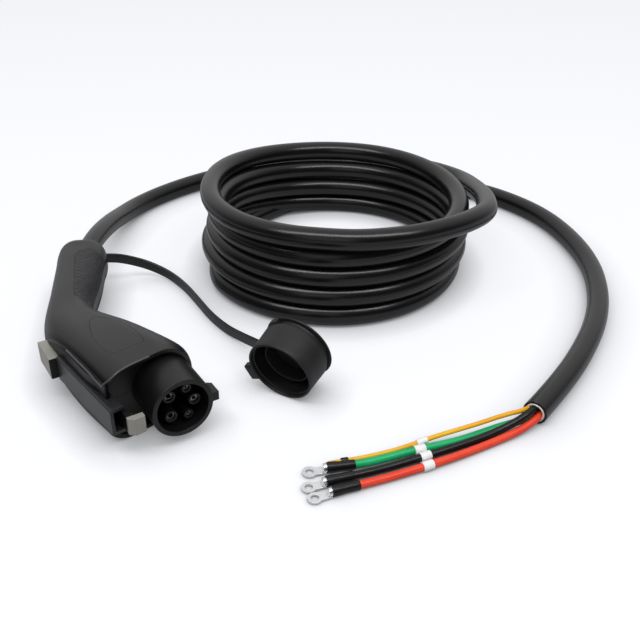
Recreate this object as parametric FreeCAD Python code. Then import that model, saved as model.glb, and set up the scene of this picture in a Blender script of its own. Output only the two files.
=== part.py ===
import FreeCAD, Part
import math
import os

V = FreeCAD.Vector
UP = V(0, 0, 1)
ORIGIN = V(0, 0, 0)
FAR = 600.0

# Where the plug's rim centre stands in the row frame: the origin is under the plug and its cap
rim_x = 116.5
rim_y = -24.85

# Cable and its cores
cable_d = 17.5
jacket_wall = 2.1
power_core_d = 5.4
pilot_core_d = 2.6
cord_fit = 0.15

# Nose of the plug, lying on its side with its axis along X and the latch towards -Y
mid_z = 28.1
nose_r = 21.5
nose_bore_r = 18.1
nose_back = -44.0
nose_shoulder_r = 20.9
nose_groove_r = 19.8
key_height = 4.6
key_width = 6.6
key_front = -1.0
key_length = 15.0
key_slope = 4.0
seal_t = 1.0
running_gap = 0.1
seat_gap = 0.3

# Contacts and their towers, measured across the nose
tower_tip = -5.8
tower_r = 4.3
small_tower_r = 3.4
block_front = -28.0
block_back = -41.0
contact_inset = 1.6
power_bore_r = 1.8
power_sleeve_r = 2.8
earth_bore_r = 1.4
signal_bore_r = 0.75
signal_sleeve_r = 2.0
contact_length = 40.6
collar_length = 2.0
collar_step = 0.8
contact_bore_depth = 24.0
power_row = -6.8
power_half_pitch = 7.9
signal_row = 5.6
signal_half_pitch = 10.6
earth_row = 10.6

# Housing
half_width = 28.0
wall = 2.8
bulkhead_front = -35.0
bulkhead_t = 3.0
rim_latch_side = V(-22.0, -43.2, 0)
rim_belly_side = V(-35.0, 22.4, 0)
latch_corner = 20.0
latch_land = 19.0
belly_flat = 3.0
grip_half_width = 19.0
handle_turn = 23.3
handle_end_dome = 12.0
handle_shape = [(12, 2.2, 16.9, 20.4), (30, 3.0, 18.1, 19.7), (52, 3.5, 19.0, 19.2), (70, 3.7, 19.6, 19.0),
                (88, 3.8, 19.8, 18.8)]
screw_r = 1.5
screw_head_r = 2.9
screw_head_t = 2.2
screw_length = 22.0
screw_boss_r = 3.7

# Latch: a metal lever under a channel-shaped cover, rocking on a cross pin
cover_front = V(-9.0, -45.7, 0)
cover_back = V(-87.5, -55.85, 0)
cover_depth = 9.5
cover_half_width = 10.0
cover_wall = 2.4
slot_gap = 0.35
lever_half_width = 6.2
lever_t = 3.4
arm_lap = 8.0
button_half_width = 8.2
button_front_x = -88.5
button_back_x = -115.5
button_t = 7.8
button_top_y = -60.8
hook_front_x = 2.5
hook_back_x = -8.5
hook_tip_y = -26.6
hook_top_y = -37.6
pivot = V(-58.0, -45.75, 0)
pivot_r = 2.0
pivot_boss_r = 3.1
pivot_running = 0.05
pocket_floor_y = -44.6
spring_x = -106.0
spring_r = 3.0
spring_wire_r = 0.45
spring_turns = 5
spring_well_y = -40.0

# Shallow seams behind the button
seam_height = 10.0
seam_width = 0.8

# Grip inlays and the bare plate on the side
inlay_t = 1.2
inlay_seam = 4.0
plate_t = 0.8

# Rubber grommet round the cable in the end wall of the handle
grommet_wall = 2.2
grommet_length = 9.0
grommet_end = 21.0

# Dust cap, lying on its rim and its back flange
cap_r = 25.2
cap_wall = 1.8
cap_length = 25.4
cap_end_t = 3.0
cap_flange_r = 26.4
cap_flange_t = 3.2
cap_lead_in = 0.9
cap_tilt = 12.9
cap_mouth = V(-6.8, 75.1, 0)
cap_azimuth = -61.4
cap_lug_width = 17.0
cap_lug_length = 5.6
cap_lug_rise = 1.2
cap_rib_t = 1.4

# Strap between the plug and its cap: a flat strip standing on edge
strap_width = 8.0
strap_t = 3.0

# Coil of five turns
coil_middle = V(-168.1, 223.6, 0)
coil_hole_r = 103.2
coil_spread_way = V(-0.453, 0.891, 0)
coil_front_wall = 0.73 * cable_d
coil_back_wall = 2.38 * cable_d
coil_front_turns = 5.0
coil_back_turns = 4.0
coil_edge_r = 0.47 * coil_front_wall

# Ring terminals and sleeves on the cores
ring_r = 4.8
stud_hole_r = 2.65
ring_t = 1.1
barrel_r = 2.9
barrel_bore_r = 1.8
barrel_length = 7.0
ring_reach = 9.0
neck_root = 2.0
shrink_wall = 0.6
shrink_length = 18.5
band_length = 5.0
marker_wall = 0.5
marker_length = 7.5
face_gap = 0.8


def straight_and_arc_wire(points, label):
    """Straight runs joined by tangent arcs as large as the two runs allow."""
    edges = []
    radii = []
    start = points[0]
    for before, corner, after in zip(points, points[1:], points[2:]):
        run_in = (before - corner).Length
        run_out = (after - corner).Length
        back = (before - corner).normalize()
        ahead = (after - corner).normalize()
        turn = math.pi - back.getAngle(ahead)
        tangent = 0.45 * min(run_in, run_out)
        radius = tangent / math.tan(turn / 2)
        first = corner + back * tangent
        last = corner + ahead * tangent
        bisector = (back + ahead).normalize()
        middle = corner + bisector * (math.hypot(radius, tangent) - radius)
        edges.append(Part.LineSegment(start, first).toShape())
        edges.append(Part.Arc(first, middle, last).toShape())
        start = last
        radii.append(radius)
    edges.append(Part.LineSegment(start, points[-1]).toShape())
    print(label, "arc radii", [round(r) for r in radii])
    return Part.Wire(edges)


def round_cord(points, diameter, label):
    path = straight_and_arc_wire(points, label)
    direction = points[1] - points[0]
    ring = Part.makeCircle(diameter / 2, points[0], direction)
    cord = path.makePipeShell([Part.Wire([ring])], True, False)
    section = math.pi * diameter ** 2 / 4
    print(label, "length", round(path.Length), "volume ratio", round(cord.Volume / (section * path.Length), 4))
    return cord


def tube(start, end, outer_r, inner_r):
    axis = end - start
    body = Part.makeCylinder(outer_r, axis.Length, start, axis)
    return body.cut(Part.makeCylinder(inner_r, axis.Length, start, axis))


def rod_x(radius, x0, x1, y, z):
    return Part.makeCylinder(radius, x1 - x0, V(x0, y, z), V(1, 0, 0))


def rod_z(radius, z0, z1, x, y):
    return Part.makeCylinder(radius, z1 - z0, V(x, y, z0), UP)


def block(x0, x1, y0, y1, z0, z1):
    return Part.makeBox(x1 - x0, y1 - y0, z1 - z0, V(x0, y0, z0))


def slab(points, z0, z1):
    """A plate of the given plan outline between two heights."""
    corners = [V(p.x, p.y, z0) for p in points]
    face = Part.Face(Part.makePolygon(corners + [corners[0]]))
    return face.extrude(V(0, 0, z1 - z0))


def rounded_section(latch_side, belly_side, half, latch_r, belly_r, land, inset):
    """A closed outline in the upright plane through two plan points, inset by a wall.

    The latch side is a flat land that meets its corner arcs at an edge; the belly side is round.
    """
    across = (belly_side - latch_side).normalize()
    low = latch_side + across * inset
    high = belly_side - across * inset
    width = half - inset
    land_half = max(land - inset * 0.5, 0.6)
    small = min(max(latch_r - inset, 2.0), width - land_half * 0.2)
    large = min(max(belly_r - inset, 1.0), width - belly_flat)
    rise = width - land_half
    if rise < small:
        run = math.sqrt(2 * small * rise - rise * rise)
    else:
        run = small
        land_half = width - small

    def at(base, along, height):
        return base + across * along + UP * (mid_z + height)

    def latch_corner_points(turn_up):
        centre_height = width - small
        first = math.atan2(land_half - centre_height, -run)
        middle = (first + math.pi / 2) / 2
        side = at(low, 0, turn_up * land_half)
        mid = at(low, run + small * math.cos(middle), turn_up * (centre_height + small * math.sin(middle)))
        top = at(low, run, turn_up * width)
        return side, mid, top

    def belly_corner_points(turn_up):
        reach = large * math.sqrt(0.5)
        height = width - large
        side = at(high, 0, turn_up * height)
        mid = at(high, reach - large, turn_up * (height + reach))
        top = at(high, -large, turn_up * width)
        return side, mid, top

    low_up = latch_corner_points(1)
    low_down = latch_corner_points(-1)
    high_up = belly_corner_points(1)
    high_down = belly_corner_points(-1)
    edges = [
        Part.LineSegment(low_down[0], low_up[0]).toShape(),
        Part.Arc(low_up[0], low_up[1], low_up[2]).toShape(),
        Part.LineSegment(low_up[2], high_up[2]).toShape(),
        Part.Arc(high_up[2], high_up[1], high_up[0]).toShape(),
        Part.LineSegment(high_up[0], high_down[0]).toShape(),
        Part.Arc(high_down[0], high_down[1], high_down[2]).toShape(),
        Part.LineSegment(high_down[2], low_down[2]).toShape(),
        Part.Arc(low_down[2], low_down[1], low_down[0]).toShape(),
    ]
    return Part.Wire(edges)


def handle_axis(distance):
    """A plan point on the handle's centre line, measured back from the crook."""
    turn = math.radians(handle_turn)
    crook = V(-152.9, -26.9, 0)
    return crook + V(-math.cos(turn), math.sin(turn), 0) * distance


def handle_across():
    turn = math.radians(handle_turn)
    return V(math.sin(turn), math.cos(turn), 0)


def body_stations():
    """Along the plug's spine: latch and belly points, half width, corner radii and the latch land."""
    side = handle_across()
    stations = [
        (rim_latch_side, rim_belly_side, half_width, latch_corner, half_width, latch_land),
        (V(-40, -46.4, 0), V(-50, 22.2, 0), half_width, latch_corner, half_width, latch_land),
        (V(-62, -49.6, 0), V(-70, 14.8, 0), half_width - 0.4, latch_corner, 24.5, latch_land),
        (V(-89, -52.8, 0), V(-89, 5.6, 0), half_width - 1.6, latch_corner, 21.5, 15.5),
        (V(-116, -54.2, 0), V(-106.5, -4.6, 0), half_width - 3.8, latch_corner, 18.5, 7.0),
        (V(-140, -48.6, 0), V(-127, -11.6, 0), half_width - 6.2, 18.5, 16.0, 3.0),
    ]
    for distance, shift, depth, half in handle_shape:
        middle = handle_axis(distance) + side * shift
        stations.append((middle - side * depth, middle + side * depth, half, 16.0, 16.0, 3.0))
    return stations


def loft_of(stations, inset):
    return Part.makeLoft([rounded_section(*station, inset) for station in stations], True, False)


def handle_dome(stations, inset):
    """The rounded end of the handle, from its last station back."""
    latch_side, belly_side, half, small, large, land = stations[-1]
    back = handle_axis(1) - handle_axis(0)
    rings = []
    for share, shrink in ((0.0, 0.0), (0.42, 0.8), (0.74, 3.1), (0.93, 6.4), (1.0, 9.6)):
        shift = back * (handle_end_dome * share)
        ring = rounded_section(latch_side + shift, belly_side + shift, half, small, large, land, inset + shrink)
        rings.append(ring)
    return Part.makeLoft(rings, True, False)


def body_outer():
    stations = body_stations()
    return loft_of(stations, 0.0).fuse(handle_dome(stations, 0.0)).removeSplitter()


def cover_frame():
    """Unit vectors along the latch cover, towards its back, and into the housing."""
    along = (cover_back - cover_front).normalize()
    inward = V(-along.y, along.x, 0)
    if inward.y < 0:
        inward = inward * -1
    return along, inward


def cover_point(distance, depth):
    along, inward = cover_frame()
    return cover_front + along * distance + inward * depth


def latch_slot(extra):
    """The groove in the housing that holds the cover and the lever, grown by a wall."""
    along, inward = cover_frame()
    length = (cover_back - cover_front).Length
    depth = cover_depth + slot_gap + extra
    half = cover_half_width + slot_gap + extra
    outline = [
        cover_point(-FAR / 10, -FAR / 10),
        cover_point(length + slot_gap + extra, -FAR / 10),
        cover_point(length + slot_gap + extra, depth),
        cover_point(-FAR / 10, depth),
    ]
    return slab(outline, mid_z - half, mid_z + half)


def button_pocket(extra):
    half = button_half_width + slot_gap * 2 + extra
    return block(
        button_back_x - 2 - extra, button_front_x + 6 + extra, -FAR / 10, pocket_floor_y + extra,
        mid_z - half, mid_z + half,
    )


def hood_recess():
    """The open space inside the hood, round the nose, in front of the bulkhead."""
    stations = body_stations()[:3]
    inner = loft_of(stations, wall)
    front = block(bulkhead_front, FAR / 10, -FAR / 10, FAR / 10, -FAR / 10, FAR / 5)
    return inner.common(front)


def wiring_space():
    """The hollow behind the bulkhead, clear of the latch groove and the button pocket."""
    inner = loft_of(body_stations(), wall)
    back = block(-FAR, bulkhead_front - bulkhead_t, -FAR, FAR, -FAR, FAR)
    space = inner.common(back)
    space = space.cut(latch_slot(wall))
    space = space.cut(button_pocket(wall))
    return space.cut(spring_well(wall))


def screw_places():
    """Where the four screws stand, each with the height its head bears at."""
    side = handle_across()
    return [
        V(-62, 10, 14.0),
        V(-92, -20, 14.0),
        handle_axis(20) + side * 0.2 + UP * 14.0,
        handle_axis(84.5) - side * 9.2 + UP * 17.5,
    ]


def screw_boss(place):
    return rod_z(screw_boss_r, 0, 2 * mid_z, place.x, place.y)


def cable_exit_points():
    return plug_tail_route()[0], plug_tail_route()[1]


def cable_way():
    """The straight hole for the cable through the end of the handle, wider inside for the grommet."""
    start, end = cable_exit_points()
    axis = (end - start).normalize()
    narrow = Part.makeCylinder(cable_d / 2 + seat_gap, (end - start).Length + 20, start, axis)
    seat = Part.makeCylinder(cable_d / 2 + grommet_wall, grommet_end + seat_gap / 2, start, axis)
    return narrow.fuse(seat)


def screw_hole(place):
    """Shank hole and head well of one housing screw, from the underside."""
    shank = rod_z(screw_r, place.z - 1, place.z + screw_length + 1, place.x, place.y)
    below = mid_z - 2 * half_width
    return shank.fuse(rod_z(screw_head_r + seat_gap, below, place.z, place.x, place.y))


def housing_half(side, outer, hollow, lets):
    """One half shell: the outer form on one side of the middle plane, hollowed and pierced."""
    shell = outer.common(side).cut(hollow.common(side)).cut(hood_recess().common(side))
    bosses = [screw_boss(p).common(hollow).common(side) for p in screw_places()]
    shell = shell.fuse(bosses)
    voids = [latch_slot(0.0), button_pocket(0.0), nose_seat(), cable_way(), spring_well(0.0), strap_slot()]
    for void in voids + seam_grooves() + lets:
        shell = shell.cut(void)
    for place in screw_places():
        shell = shell.cut(screw_hole(place))
    return shell


def housing_upper(outer, hollow, lets):
    return housing_half(block(-FAR, FAR, -FAR, FAR, mid_z, FAR), outer, hollow, lets)


def housing_lower(outer, hollow, lets):
    return housing_half(block(-FAR, FAR, -FAR, FAR, -FAR, mid_z), outer, hollow, lets)


def spring_well(extra):
    radius = spring_r + spring_wire_r + seat_gap + extra
    depth = spring_well_y - pocket_floor_y + extra
    return Part.makeCylinder(radius, depth, V(spring_x, pocket_floor_y, mid_z), V(0, 1, 0))


def on_handle(back, over):
    """A plan point by its distance back along the handle and over towards the belly."""
    return handle_axis(back) + handle_across() * over


def inlay_outline(grow):
    """The patch of grip texture: from the handle's flank over to its belly, in plan."""
    front_low = on_handle(-7.0 - grow, 10.5)
    corner = on_handle(-5.5 - grow, 8.2 - grow)
    flank_front = on_handle(-2.0, 7.0 - grow)
    flank_rear = on_handle(58.0, 1.8 - grow)
    shoulder = on_handle(70.0 + grow, 4.8 - grow)
    rear = on_handle(75.0 + grow, 12.0)
    rear_far = on_handle(66.0 + grow, 40.0)
    front_far = on_handle(-25.0 - grow, 40.0)
    front_high = on_handle(-21.6 - grow, 20.5)
    edges = [
        Part.Arc(front_low, corner, flank_front).toShape(),
        Part.LineSegment(flank_front, flank_rear).toShape(),
        Part.Arc(flank_rear, shoulder, rear).toShape(),
        Part.LineSegment(rear, rear_far).toShape(),
        Part.LineSegment(rear_far, front_far).toShape(),
        Part.LineSegment(front_far, front_high).toShape(),
        Part.LineSegment(front_high, front_low).toShape(),
    ]
    return Part.Face(Part.Wire(edges))


def inlay_body(outer, sign, grow):
    """A soft patch let into the flank and the belly of one half shell."""
    prism = inlay_outline(grow).extrude(UP * sign * FAR)
    prism.translate(UP * (mid_z + sign * (inlay_seam - grow)))
    skin = prism.common(outer)
    return skin.cut(loft_of(body_stations(), inlay_t + grow))


def plate_outline(grow):
    """The bare shield-shaped plate on the flank: a flat back and a rounded point to the nose."""
    back_high = V(-96.2 - grow, -19.5 + grow, 0)
    back_turn = V(-97.2 - grow, -23.2, 0)
    back_low = V(-94.4 - grow, -26.6 - grow, 0)
    heel = V(-72.0, -32.2 - grow, 0)
    low = V(-47.4, -30.4 - grow, 0)
    tip = V(-44.2 + grow, -28.6 - grow, 0)
    front = V(-44.0 + grow, -25.2, 0)
    high = V(-47.3 + grow, -5.2 + grow, 0)
    crest = V(-72.0, -6.6 + grow, 0)
    edges = [
        Part.Arc(back_low, heel, low).toShape(),
        Part.Arc(low, tip, front).toShape(),
        Part.LineSegment(front, high).toShape(),
        Part.Arc(high, crest, back_high).toShape(),
        Part.Arc(back_high, back_turn, back_low).toShape(),
    ]
    return Part.Face(Part.Wire(edges))


def side_plate(outer, grow):
    prism = plate_outline(grow).extrude(UP * FAR)
    prism.translate(UP * (mid_z + half_width / 2))
    return prism.common(outer).cut(loft_of(body_stations(), plate_t + grow))


def key_rib():
    """The guide rib on the nose's underside, opposite the latch, with a sloped back."""
    top = nose_r + key_height
    back = key_front - key_length
    outline = [
        V(key_front, nose_r - 1, 0),
        V(key_front, top, 0),
        V(back + key_slope, top, 0),
        V(back, nose_r - 1, 0),
    ]
    return slab(outline, mid_z - key_width / 2, mid_z + key_width / 2)


def nose_barrel():
    groove_front = bulkhead_front + running_gap
    groove_back = bulkhead_front - bulkhead_t - seal_t - running_gap
    body = rod_x(nose_r, groove_front, 0, 0, mid_z)
    neck = rod_x(nose_groove_r, groove_back, groove_front, 0, mid_z)
    shoulder = rod_x(nose_shoulder_r, nose_back, groove_back, 0, mid_z)
    body = body.fuse([neck, shoulder, key_rib()])
    body = body.cut(rod_x(nose_bore_r, -FAR / 10, 1, 0, mid_z))
    rim_edges = [e for e in body.Edges if isinstance(e.Curve, Part.Circle)
                 and abs(e.CenterOfMass.x) < 0.5 and e.Curve.Radius > nose_bore_r - 1]
    return body.makeFillet(0.6, rim_edges)


def nose_seal():
    back = bulkhead_front - bulkhead_t
    inner = nose_groove_r + running_gap
    return tube(V(back - seal_t, 0, mid_z), V(back, 0, mid_z), nose_shoulder_r, inner)


def nose_seat():
    """The round opening in the housing for the nose: narrow in the bulkhead, wider behind it."""
    back = bulkhead_front - bulkhead_t
    narrow = rod_x(nose_groove_r + running_gap, back - 1, bulkhead_front + 1, 0, mid_z)
    rear = rod_x(nose_shoulder_r + running_gap, nose_back - seat_gap, back, 0, mid_z)
    front = rod_x(nose_r + running_gap, bulkhead_front, 0, 0, mid_z)
    return narrow.fuse([rear, front])


def contact_places():
    """Name, offset across the plug, height offset, sleeve radius and bore radius of each contact."""
    return [
        ("contact_line", power_row, power_half_pitch, power_sleeve_r, power_bore_r, tower_r),
        ("contact_neutral", power_row, -power_half_pitch, power_sleeve_r, power_bore_r, tower_r),
        ("contact_earth", earth_row, 0, power_sleeve_r, earth_bore_r, tower_r),
        ("contact_pilot", signal_row, signal_half_pitch, signal_sleeve_r, signal_bore_r, small_tower_r),
        ("contact_proximity", signal_row, -signal_half_pitch, signal_sleeve_r, signal_bore_r, small_tower_r),
    ]


def contact_block():
    """The insulating carrier: a disc closing the nose with a tower for each contact."""
    body = rod_x(nose_bore_r - running_gap, block_back, block_front, 0, mid_z)
    towers = [rod_x(t, block_front - 1, tower_tip, y, mid_z + z) for _, y, z, _, _, t in contact_places()]
    body = body.fuse(towers)
    for _, y, z, sleeve, _, _ in contact_places():
        body = body.cut(rod_x(sleeve + running_gap, -FAR / 10, 0, y, mid_z + z))
    return body


def contact(y, z, sleeve, bore):
    front = tower_tip - contact_inset
    body = rod_x(sleeve, front - contact_length, front, y, mid_z + z)
    collar_front = block_back - seat_gap
    collar = rod_x(sleeve + collar_step, collar_front - collar_length, collar_front, y, mid_z + z)
    body = body.fuse(collar)
    body = body.cut(rod_x(bore, front - contact_bore_depth, front + 1, y, mid_z + z))
    return body


def latch_cover():
    """The channel over the lever: an outer wall and two side walls, open at both ends."""
    length = (cover_back - cover_front).Length
    outer = [cover_point(0, 0), cover_point(length, 0), cover_point(length, cover_depth), cover_point(0, cover_depth)]
    body = slab(outer, mid_z - cover_half_width, mid_z + cover_half_width)
    long_edges = [e for e in body.Edges if e.Length > length - 1
                  and (e.CenterOfMass - cover_point(length / 2, 0) - UP * e.CenterOfMass.z).Length < 1]
    body = body.makeFillet(1.6, long_edges)
    inner = [
        cover_point(-1, cover_wall),
        cover_point(length + 1, cover_wall),
        cover_point(length + 1, cover_depth + 1),
        cover_point(-1, cover_depth + 1),
    ]
    half = cover_half_width - cover_wall
    body = body.cut(slab(inner, mid_z - half, mid_z + half))
    return body.cut(rod_z(pivot_r, 0, 2 * mid_z, pivot.x, pivot.y))


def latch_pin():
    return rod_z(pivot_r, mid_z - cover_half_width, mid_z + cover_half_width, pivot.x, pivot.y)


def latch_lever():
    """One metal piece: thumb button, arm, pivot boss and hook."""
    along, inward = cover_frame()
    rear = V(button_back_x, button_top_y, 0)
    front = V(button_front_x, button_top_y, 0)
    depth = V(0, button_t, 0)

    def on_cover_line(x, depth):
        share = (x - cover_front.x) / (cover_back.x - cover_front.x)
        return cover_front + (cover_back - cover_front) * share + inward * depth

    button = slab([rear, front, front + depth, rear + depth], mid_z - button_half_width, mid_z + button_half_width)
    button = button.makeFillet(0.7, button.Edges)
    arm_back = [
        on_cover_line(front.x - arm_lap, cover_wall + 0.6),
        on_cover_line(pivot.x, cover_wall + 0.6),
        on_cover_line(pivot.x, cover_wall + 0.6 + lever_t),
        on_cover_line(front.x - arm_lap, cover_wall + 0.6 + lever_t),
    ]
    arm_front = [
        on_cover_line(pivot.x, cover_wall + 0.6),
        V(hook_back_x, hook_top_y, 0),
        V(hook_back_x, hook_top_y + lever_t, 0),
        on_cover_line(pivot.x, cover_wall + 0.6 + lever_t),
    ]
    hook = slab(
        [
            V(hook_back_x - 0.5, hook_top_y, 0),
            V(hook_front_x - 3, hook_top_y, 0),
            V(hook_front_x, hook_top_y + 4, 0),
            V(hook_front_x - 1, hook_tip_y, 0),
            V(hook_front_x - 5.5, hook_tip_y, 0),
            V(hook_front_x - 6.5, hook_top_y + lever_t + 3, 0),
            V(hook_back_x - 0.5, hook_top_y + lever_t, 0),
        ],
        mid_z - lever_half_width, mid_z + lever_half_width,
    )
    boss = rod_z(pivot_boss_r, mid_z - lever_half_width, mid_z + lever_half_width, pivot.x, pivot.y)
    arms = [slab(p, mid_z - lever_half_width, mid_z + lever_half_width) for p in (arm_back, arm_front)]
    body = button.fuse(arms + [hook, boss]).removeSplitter()
    return body.cut(rod_z(pivot_r + pivot_running, 0, 2 * mid_z, pivot.x, pivot.y))


def latch_spring():
    """A compression spring standing in its well, under the button."""
    start_y = button_top_y + button_t + seat_gap + spring_wire_r
    height = spring_well_y - seat_gap - spring_wire_r - start_y
    helix = Part.makeHelix(height / spring_turns, height, spring_r)
    ring = Part.makeCircle(spring_wire_r, V(spring_r, 0, 0), V(0, 1, 0))
    spring = Part.Wire(helix.Edges).makePipeShell([Part.Wire([ring])], True, True)
    spring.rotate(ORIGIN, V(1, 0, 0), -90)
    spring.translate(V(spring_x, start_y, mid_z))
    return spring


def cable_grommet():
    start, end = cable_exit_points()
    axis = (end - start).normalize()
    front = start + axis * (grommet_end - grommet_length)
    return tube(front, front + axis * grommet_length, cable_d / 2 + grommet_wall - running_gap, cable_d / 2 + cord_fit)


def housing_screws():
    """The screws that draw the half shells together, driven from the underside."""
    screws = []
    for place in screw_places():
        shank = rod_z(screw_r - running_gap / 2, place.z - 1, place.z + screw_length, place.x, place.y)
        head = rod_z(screw_head_r, place.z - screw_head_t, place.z - running_gap / 2, place.x, place.y)
        screws.append(shank.fuse(head).removeSplitter())
    return Part.makeCompound(screws)


def cap_axes():
    """Cap mouth centre, direction out of the mouth and the cap's tilt on the floor."""
    tilt = math.radians(cap_tilt)
    turn = math.radians(cap_azimuth)
    out = V(math.cos(turn) * math.cos(tilt), math.sin(turn) * math.cos(tilt), -math.sin(tilt))
    mouth = V(cap_mouth.x, cap_mouth.y, cap_r * math.cos(tilt) + 0.05)
    return mouth, out


def dust_cap():
    """A rubber cup with a flange at its closed end, a bump over the key rib and two grip ribs inside."""
    mouth, out = cap_axes()
    back = mouth - out * cap_length
    body = Part.makeCylinder(cap_r, cap_length, back, out)
    flange = Part.makeCylinder(cap_flange_r, cap_flange_t, back, out)
    side = V(-out.y, out.x, 0).normalize()
    up = out.cross(side)
    bump_dir = (side * -1.0 - up * 0.45).normalize()
    bump_mid = mouth - out * 3.6 + bump_dir * (cap_r + 0.2)
    bump = Part.makeBox(13.0, 5.6, 7.0, V(-6.5, -2.8, -3.5))
    bump.Placement = FreeCAD.Placement(bump_mid, FreeCAD.Rotation(bump_dir.cross(out), bump_dir, out, "ZXY"))
    lug_dir = (side * -0.45 + up * 0.9).normalize()
    lug_mid = back + lug_dir * cap_r
    lug_field = Part.makeBox(cap_lug_width, cap_r, cap_lug_length, V(-cap_lug_width / 2, -cap_r / 2, 0))
    lug_field.Placement = FreeCAD.Placement(lug_mid, FreeCAD.Rotation(lug_dir.cross(out), lug_dir, out, "ZXY"))
    lug = tube(back, back + out * cap_lug_length, cap_flange_r + cap_lug_rise, cap_r - cap_wall / 2).common(lug_field)
    body = body.fuse([flange, bump, lug])
    hole_r = cap_r - cap_wall
    hollow = Part.makeCylinder(hole_r, cap_length - cap_end_t + 1, back + out * cap_end_t, out)
    lead_in = Part.makeCone(hole_r, hole_r + cap_lead_in, cap_lead_in, mouth - out * cap_lead_in, out)
    body = body.cut(hollow.fuse(lead_in))
    ribs = [tube(mouth - out * (d + cap_rib_t), mouth - out * d, hole_r + 0.2, hole_r - 0.7) for d in (5.0, 10.0)]
    return body.fuse(ribs).removeSplitter()


def strap_route():
    """From its seat in the handle's end to the cap's flange."""
    return [
        V(-231.6, 25.0, 27.6), V(-232.4, 38, 24.6), V(-232, 53.5, 17.5), V(-227, 68, 10.5), V(-211, 79.5, 5.4),
        V(-186, 83, 4.3), V(-158, 82.0, 4.2), V(-130, 80.5, 4.2), V(-104, 82.5, 4.8),
        V(-84, 85.5, 7.6), V(-64, 87.6, 11.8), V(-43.9, 89.4, 16.6),
    ]


def strap_slot():
    """The opening between the half shells that holds the strap's end."""
    start, second = strap_route()[:2]
    direction = (second - start).normalize()
    side = direction.cross(UP).normalize() * (strap_t / 2 + cord_fit)
    lift = side.cross(direction).normalize() * (strap_width / 2 + cord_fit)
    base = start - direction * seat_gap
    corners = [base - lift - side, base - lift + side, base + lift + side, base + lift - side]
    face = Part.Face(Part.makePolygon(corners + [corners[0]]))
    return face.extrude(direction * ((second - start).Length + seat_gap))


def seam_grooves():
    """Two shallow grooves in the back of the neck, above and below the button."""
    outline = [V(-120, -60, 0), V(-120, -51.8, 0), V(-146, -44.5, 0), V(-146, -60, 0)]
    heights = (mid_z - seam_height, mid_z + seam_height)
    return [slab(outline, z - seam_width / 2, z + seam_width / 2) for z in heights]


def cap_strap():
    path = straight_and_arc_wire(strap_route(), "cap_strap")
    points = strap_route()
    direction = (points[1] - points[0]).normalize()
    side = direction.cross(UP).normalize()
    lift = side.cross(direction)
    half_w = lift * (strap_width / 2)
    half_t = side * (strap_t / 2)
    start = points[0]
    corners = [start - half_w - half_t, start - half_w + half_t, start + half_w + half_t, start + half_w - half_t]
    outline = Part.makePolygon(corners + [corners[0]])
    sweep = Part.BRepOffsetAPI.MakePipeShell(path)
    sweep.setBiNormalMode(UP)
    sweep.add(outline, False, False)
    sweep.build()
    sweep.makeSolid()
    return sweep.shape()


def plug_tail_route():
    """The cable from inside the handle, over the floor and up behind the coil."""
    return [
        V(-219, 5.0, mid_z), V(-246, 18.5, mid_z), V(-275, 38, 27.2), V(-306.5, 61, 21.2), V(-333, 82, 13.6),
        V(-355.5, 105.5, 9.4), V(-369.5, 135, 8.8), V(-379, 170, 8.8), V(-381.5, 205, 9.6), V(-371, 238, 14),
        V(-347, 265, 22.5), V(-313, 288, 32), V(-272, 306, 39),
    ]


def open_tail_route():
    """The cable from under the back of the coil, round over the floor to its cut end."""
    floor = cable_d / 2 + 0.05
    places = [
        (-275, 305), (-261, 349), (-239, 389), (-206, 421), (-165, 437.5), (-119, 439.5), (-71, 427),
        (-25, 404.5), (14, 373), (46, 336), (73, 291), (93, 248), (106.9, 210.8),
    ]
    return [V(x, y, floor) for x, y in places]


def core_start(across, height):
    """A point on the jacket's cut face, by its offsets from the cable's centre."""
    route = open_tail_route()
    direction = (route[-1] - route[-2]).normalize()
    side = V(-direction.y, direction.x, 0)
    return route[-1] + side * across + UP * height + direction * face_gap


def core_routes():
    """Centre lines of the four cores, from the jacket's cut face to their own ends."""
    red = core_start(3.1, -1.6)
    black = core_start(-0.6, 3.4)
    green = core_start(-2.6, -2.4)
    yellow = core_start(-4.9, 2.0)
    return {
        "core_red": [
            red, V(111.3, 204.5, 6.2), V(111.6, 195, 4.3), V(111.0, 182, 3.1), V(110.2, 167, 2.8),
            V(109.3, 150, 2.85), V(107.9, 131, 3.4), V(104.8, 109, 3.4), V(101.6, 90.5, 3.0), V(98.4, 73, 3.75),
            V(95.4, 59.4, 3.8),
        ],
        "core_black": [
            black, V(108.2, 202.4, 11.9), V(107.9, 193, 9.0), V(105.9, 182, 6.0), V(104.9, 168, 4.7),
            V(103.0, 153, 4.3), V(100.2, 135, 3.6), V(96.9, 113, 3.4), V(93.6, 94.5, 3.0), V(90.2, 76.5, 3.75),
            V(86.1, 61, 3.8),
        ],
        "core_green": [
            green, V(105.6, 203.4, 6.1), V(104.6, 196.5, 5.1), V(101.2, 185, 3.7), V(99.2, 171, 2.9),
            V(97.3, 153, 2.85), V(93.4, 134, 3.5), V(88.9, 116, 3.5), V(85.2, 98, 2.9),
            V(82.0, 82, 3.75), V(76.2, 68, 3.8),
        ],
        "core_yellow": [
            yellow, V(102.6, 201.7, 11.2), V(101.2, 195, 11.4), V(98.9, 184, 10.8), V(96.8, 171.5, 9.8),
            V(93.4, 157, 8.4), V(88.1, 140, 5.8), V(84.3, 118, 3.4), V(80.7, 103, 2.4), V(76.9, 88.5, 2.2),
            V(73.4, 77.6, 2.25), V(70.2, 67.6, 2.3),
        ],
    }


def core_piece(name, index):
    """Start and end of one piece along a core: a share of its last or middle run."""
    route = core_routes()[name]
    return route[index], route[index + 1]


def along_last_run(name):
    """The end of a core and the direction back along it."""
    route = core_routes()[name]
    end = route[-1]
    direction = (route[-2] - end).normalize()
    return end, direction


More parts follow.
